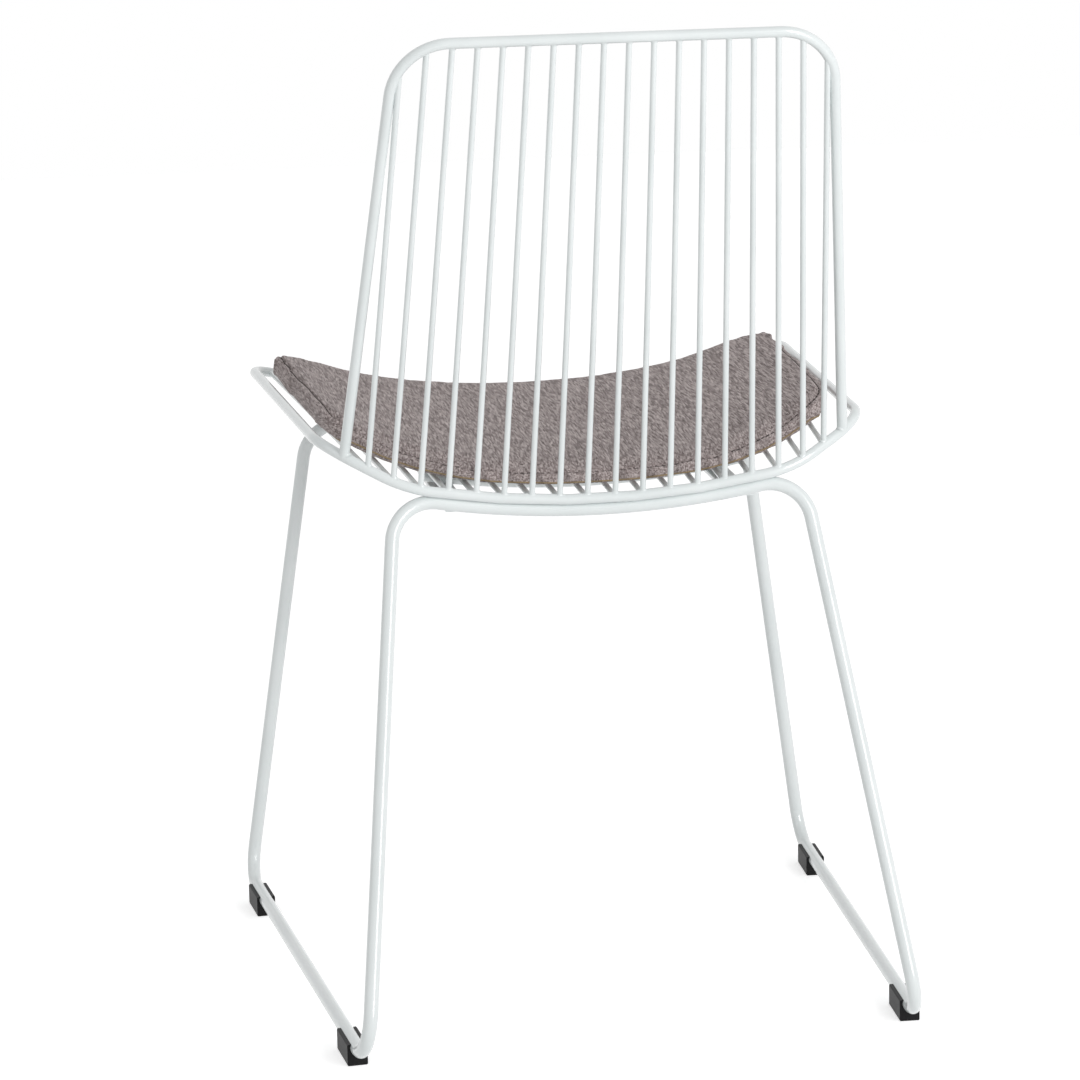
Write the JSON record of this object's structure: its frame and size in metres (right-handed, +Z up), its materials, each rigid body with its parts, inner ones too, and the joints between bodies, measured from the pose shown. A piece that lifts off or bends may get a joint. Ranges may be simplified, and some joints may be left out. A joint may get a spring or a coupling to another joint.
{
  "type": "wire chair",
  "caption": "Wire dining chair: bent rod back and seat filled with parallel welded wires, tube sled base with glides, and a loose fabric seat cushion that lifts off.",
  "frame": {"origin": "on the floor, in the middle of the chair's overall width and depth", "axes": "+X towards the sitter's left, -Y the way the sitter faces, +Z up"},
  "size_m": [0.522, 0.5284, 0.7993],
  "materials": {
    "powder_coat": "glossy pale white powder coat",
    "glide_plastic": "black moulded plastic, satin",
    "woven_fabric": "taupe heather weave",
    "foam": "soft foam inside the cover"
  },
  "bodies": {
    "frame": {"seat_ring": "powder_coat", "back_hoop": "powder_coat", "back_wire_01": "powder_coat", "back_wire_02": "powder_coat", "back_wire_03": "powder_coat", "back_wire_04": "powder_coat", "back_wire_05": "powder_coat", "back_wire_06": "powder_coat", "back_wire_07": "powder_coat", "back_wire_08": "powder_coat", "back_wire_09": "powder_coat", "back_wire_10": "powder_coat", "back_wire_11": "powder_coat", "back_wire_12": "powder_coat", "back_wire_13": "powder_coat", "back_wire_14": "powder_coat", "back_wire_15": "powder_coat", "back_wire_16": "powder_coat", "back_wire_17": "powder_coat", "back_wire_18": "powder_coat", "seat_wire_01": "powder_coat", "seat_wire_02": "powder_coat", "seat_wire_03": "powder_coat", "seat_wire_04": "powder_coat", "seat_wire_05": "powder_coat", "seat_wire_06": "powder_coat", "seat_wire_07": "powder_coat", "seat_wire_08": "powder_coat", "seat_wire_09": "powder_coat", "seat_wire_10": "powder_coat", "seat_wire_11": "powder_coat", "seat_wire_12": "powder_coat", "seat_wire_13": "powder_coat", "seat_wire_14": "powder_coat", "seat_wire_15": "powder_coat", "seat_wire_16": "powder_coat", "seat_wire_17": "powder_coat", "seat_wire_18": "powder_coat", "rear_leg_frame": "powder_coat", "front_leg_frame": "powder_coat", "runner_left": "powder_coat", "runner_right": "powder_coat", "cross_rod": "powder_coat", "seat_rail_left": "powder_coat", "seat_rail_right": "powder_coat", "glide_front_left": "glide_plastic", "glide_front_right": "glide_plastic", "glide_rear_left": "glide_plastic", "glide_rear_right": "glide_plastic"},
    "cushion": {"cushion_top_panel": "woven_fabric", "cushion_side_band": "woven_fabric", "cushion_bottom_panel": "woven_fabric", "cushion_foam": "foam"}
  },
  "joints": [
    {"name": "cushion_lift", "type": "slide", "parent": "frame", "child": "cushion", "axis": [0, 0, 1], "range_m": [0, 0.15]}
  ]
}
